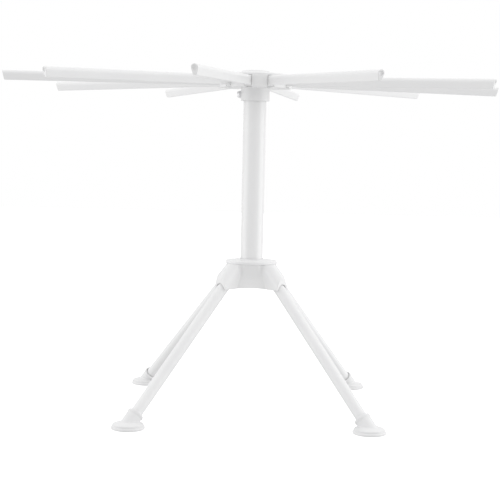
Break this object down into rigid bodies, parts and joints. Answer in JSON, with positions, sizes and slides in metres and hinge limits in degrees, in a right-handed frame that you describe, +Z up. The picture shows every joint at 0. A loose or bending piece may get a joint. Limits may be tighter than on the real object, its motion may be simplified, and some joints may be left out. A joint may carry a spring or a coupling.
{
  "type": "pasta drying rack",
  "caption": "Free-standing drying rack for fresh pasta: straight arms fold down from a hub that turns on a round column, above splayed legs that fold in.",
  "frame": {"origin": "on the column's axis, level with the undersides of the feet", "axes": "+Z up along the column; +X to the right and +Y away from the pictured side"},
  "size_m": [0.4075, 0.4022, 0.2797],
  "materials": {
    "white_plastic": "satin moulded",
    "tube_plastic": "smooth gloss",
    "foot_plastic": "soft matte",
    "inner_plastic": "plain",
    "steel": "plain"
  },
  "bodies": {
    "stand": {"base_housing": "white_plastic", "column_socket": "white_plastic", "column_tube": "tube_plastic", "column_plug": "inner_plastic", "column_screw": "steel", "head_plug": "inner_plastic", "leg_pin_1": "steel", "leg_pin_2": "steel", "leg_pin_3": "steel", "leg_pin_4": "steel"},
    "head": {"hub_body": "white_plastic", "hub_cap": "white_plastic", "head_screw": "steel", "hub_set_screw": "steel", "arm_pin_01": "steel", "arm_pin_02": "steel", "arm_pin_03": "steel", "arm_pin_04": "steel", "arm_pin_05": "steel", "arm_pin_06": "steel", "arm_pin_07": "steel", "arm_pin_08": "steel", "arm_pin_09": "steel", "arm_pin_10": "steel"},
    "arm_01": {"arm_01": "white_plastic"},
    "arm_02": {"arm_02": "white_plastic"},
    "arm_03": {"arm_03": "white_plastic"},
    "arm_04": {"arm_04": "white_plastic"},
    "arm_05": {"arm_05": "white_plastic"},
    "arm_06": {"arm_06": "white_plastic"},
    "arm_07": {"arm_07": "white_plastic"},
    "arm_08": {"arm_08": "white_plastic"},
    "arm_09": {"arm_09": "white_plastic"},
    "arm_10": {"arm_10": "white_plastic"},
    "leg_1": {"leg_1": "white_plastic", "foot_1": "foot_plastic"},
    "leg_2": {"leg_2": "white_plastic", "foot_2": "foot_plastic"},
    "leg_3": {"leg_3": "white_plastic", "foot_3": "foot_plastic"},
    "leg_4": {"leg_4": "white_plastic", "foot_4": "foot_plastic"}
  },
  "joints": [
    {"name": "head_turn", "type": "hinge", "parent": "stand", "child": "head", "pos_m": [0, 0, 0.26], "axis": [0, 0, 1], "continuous": true},
    {"name": "arm_01_fold", "type": "hinge", "parent": "head", "child": "arm_01", "pos_m": [0.02385, 0.00272, 0.2703], "axis": [-0.1132, 0.9936, 0], "range_deg": [0, 78]},
    {"name": "arm_02_fold", "type": "hinge", "parent": "head", "child": "arm_02", "pos_m": [0.01769, 0.01621, 0.2703], "axis": [-0.6756, 0.7373, 0], "range_deg": [0, 78]},
    {"name": "arm_03_fold", "type": "hinge", "parent": "head", "child": "arm_03", "pos_m": [0.00479, 0.02352, 0.2703], "axis": [-0.9799, 0.1994, 0], "range_deg": [0, 78]},
    {"name": "arm_04_fold", "type": "hinge", "parent": "head", "child": "arm_04", "pos_m": [-0.00995, 0.02184, 0.2703], "axis": [-0.91, -0.4147, 0], "range_deg": [0, 78]},
    {"name": "arm_05_fold", "type": "hinge", "parent": "head", "child": "arm_05", "pos_m": [-0.02089, 0.01182, 0.2703], "axis": [-0.4924, -0.8704, 0], "range_deg": [0, 78]},
    {"name": "arm_06_fold", "type": "hinge", "parent": "head", "child": "arm_06", "pos_m": [-0.02385, -0.00272, 0.2703], "axis": [0.1132, -0.9936, 0], "range_deg": [0, 78]},
    {"name": "arm_07_fold", "type": "hinge", "parent": "head", "child": "arm_07", "pos_m": [-0.01769, -0.01621, 0.2703], "axis": [0.6756, -0.7373, 0], "range_deg": [0, 78]},
    {"name": "arm_08_fold", "type": "hinge", "parent": "head", "child": "arm_08", "pos_m": [-0.00479, -0.02352, 0.2703], "axis": [0.9799, -0.1994, 0], "range_deg": [0, 78]},
    {"name": "arm_09_fold", "type": "hinge", "parent": "head", "child": "arm_09", "pos_m": [0.00995, -0.02184, 0.2703], "axis": [0.91, 0.4147, 0], "range_deg": [0, 78]},
    {"name": "arm_10_fold", "type": "hinge", "parent": "head", "child": "arm_10", "pos_m": [0.02089, -0.01182, 0.2703], "axis": [0.4924, 0.8704, 0], "range_deg": [0, 78]},
    {"name": "leg_1_fold", "type": "hinge", "parent": "stand", "child": "leg_1", "pos_m": [0.01458, 0.01484, 0.1135], "axis": [-0.7133, 0.7009, 0], "range_deg": [0, 40]},
    {"name": "leg_2_fold", "type": "hinge", "parent": "stand", "child": "leg_2", "pos_m": [-0.01484, 0.01458, 0.1135], "axis": [-0.7009, -0.7133, 0], "range_deg": [0, 40]},
    {"name": "leg_3_fold", "type": "hinge", "parent": "stand", "child": "leg_3", "pos_m": [-0.01458, -0.01484, 0.1135], "axis": [0.7133, -0.7009, 0], "range_deg": [0, 40]},
    {"name": "leg_4_fold", "type": "hinge", "parent": "stand", "child": "leg_4", "pos_m": [0.01484, -0.01458, 0.1135], "axis": [0.7009, 0.7133, 0], "range_deg": [0, 40]}
  ]
}
